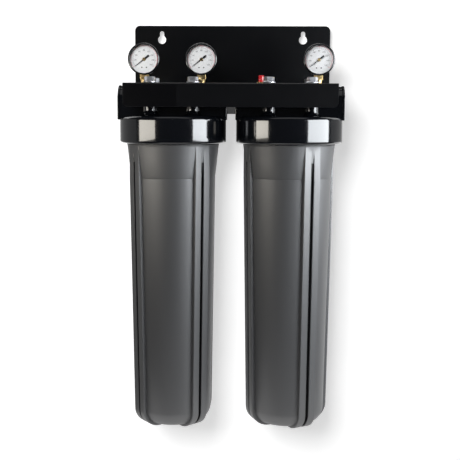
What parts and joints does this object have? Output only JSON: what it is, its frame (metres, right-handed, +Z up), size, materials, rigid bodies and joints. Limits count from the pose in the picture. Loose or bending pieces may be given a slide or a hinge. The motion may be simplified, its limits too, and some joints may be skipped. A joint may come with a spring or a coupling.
{
  "type": "dual water filter housing",
  "caption": "Two tall ribbed filter sumps screwed into black heads in line under a folded wall bracket, with pressure gauges, a relief button and side ports.",
  "frame": {"origin": "on the wall face, midway between the keyholes, at the height of their round heads", "axes": "+X from the inlet to the outlet, +Y into the wall, +Z up"},
  "size_m": [0.389, 0.19, 0.7078],
  "materials": {
    "powder_coat": "satin",
    "head_plastic": "gloss",
    "sump_plastic": "satin",
    "zinc_plate": "polished",
    "brass": "polished",
    "seal_rubber": "matte",
    "spun_fibre": "matte",
    "carbon_block": "matte",
    "cartridge_plastic": "matte",
    "gauge_steel": "gloss",
    "gauge_window": "gloss",
    "gauge_dial": "matte",
    "pointer": "satin",
    "red_plastic": "gloss",
    "spring_steel": "polished"
  },
  "bodies": {
    "frame": {"bracket": "powder_coat", "head_left": "head_plastic", "head_right": "head_plastic", "link_nipple": "head_plastic", "head_bolt_left_1": "zinc_plate", "head_bolt_left_2": "zinc_plate", "head_bolt_left_3": "zinc_plate", "head_bolt_left_4": "zinc_plate", "head_bolt_right_1": "zinc_plate", "head_bolt_right_2": "zinc_plate", "head_bolt_right_3": "zinc_plate", "head_bolt_right_4": "zinc_plate", "gauge_socket_left": "brass", "gauge_case_left": "gauge_steel", "gauge_bezel_left": "gauge_steel", "gauge_window_left": "gauge_window", "gauge_dial_left": "gauge_dial", "gauge_movement_left": "brass", "gauge_bourdon_tube_left": "brass", "gauge_socket_middle": "brass", "gauge_case_middle": "gauge_steel", "gauge_bezel_middle": "gauge_steel", "gauge_window_middle": "gauge_window", "gauge_dial_middle": "gauge_dial", "gauge_movement_middle": "brass", "gauge_bourdon_tube_middle": "brass", "gauge_socket_right": "brass", "gauge_case_right": "gauge_steel", "gauge_bezel_right": "gauge_steel", "gauge_window_right": "gauge_window", "gauge_dial_right": "gauge_dial", "gauge_movement_right": "brass", "gauge_bourdon_tube_right": "brass", "relief_valve_body": "brass", "relief_spring": "spring_steel"},
    "pointer_left": {"gauge_pointer_left": "pointer"},
    "pointer_middle": {"gauge_pointer_middle": "pointer"},
    "pointer_right": {"gauge_pointer_right": "pointer"},
    "button": {"relief_button": "red_plastic", "relief_seal": "seal_rubber"},
    "cartridge_left": {"cartridge_core_left": "cartridge_plastic", "cartridge_media_left": "spun_fibre", "cartridge_top_cap_left": "cartridge_plastic", "cartridge_foot_cap_left": "cartridge_plastic", "cartridge_top_gasket_left": "seal_rubber", "cartridge_foot_gasket_left": "seal_rubber"},
    "sump_left": {"sump_left": "sump_plastic", "sump_o_ring_left": "seal_rubber"},
    "cartridge_right": {"cartridge_core_right": "cartridge_plastic", "cartridge_media_right": "carbon_block", "cartridge_top_cap_right": "cartridge_plastic", "cartridge_foot_cap_right": "cartridge_plastic", "cartridge_top_gasket_right": "seal_rubber", "cartridge_foot_gasket_right": "seal_rubber"},
    "sump_right": {"sump_right": "sump_plastic", "sump_o_ring_right": "seal_rubber"}
  },
  "joints": [
    {"name": "needle_sweep_left", "type": "hinge", "parent": "frame", "child": "pointer_left", "pos_m": [-0.1503, -0.098, -0.041], "axis": [0, 1, 0], "range_deg": [0, 256], "stiffness_Nm_per_rad": 0.001},
    {"name": "needle_sweep_middle", "type": "hinge", "parent": "frame", "child": "pointer_middle", "pos_m": [-0.0517, -0.098, -0.041], "axis": [0, 1, 0], "range_deg": [0, 256], "stiffness_Nm_per_rad": 0.001},
    {"name": "needle_sweep_right", "type": "hinge", "parent": "frame", "child": "pointer_right", "pos_m": [0.1503, -0.098, -0.041], "axis": [0, 1, 0], "range_deg": [0, 256], "stiffness_Nm_per_rad": 0.001},
    {"name": "relief_button_press", "type": "slide", "parent": "frame", "child": "button", "axis": [0, 0, -1], "range_m": [0, 0.0025], "stiffness_N_per_m": 600, "deforming": ["relief_spring"]},
    {"name": "sump_drop_left", "type": "slide", "parent": "frame", "child": "cartridge_left", "axis": [0, 0, -1], "range_m": [0, 0.01905]},
    {"name": "sump_unscrew_left", "type": "hinge", "parent": "cartridge_left", "child": "sump_left", "pos_m": [-0.101, -0.098, -0.4], "axis": [0, 0, -1], "range_deg": [0, 1080]},
    {"name": "sump_drop_right", "type": "slide", "parent": "frame", "child": "cartridge_right", "axis": [0, 0, -1], "range_m": [0, 0.01905]},
    {"name": "sump_unscrew_right", "type": "hinge", "parent": "cartridge_right", "child": "sump_right", "pos_m": [0.101, -0.098, -0.4], "axis": [0, 0, -1], "range_deg": [0, 1080]}
  ],
  "couplings": [
    {"joint": "sump_unscrew_left", "follows": "sump_drop_left", "rad_per_m": 989.48},
    {"joint": "sump_unscrew_right", "follows": "sump_drop_right", "rad_per_m": 989.48}
  ]
}
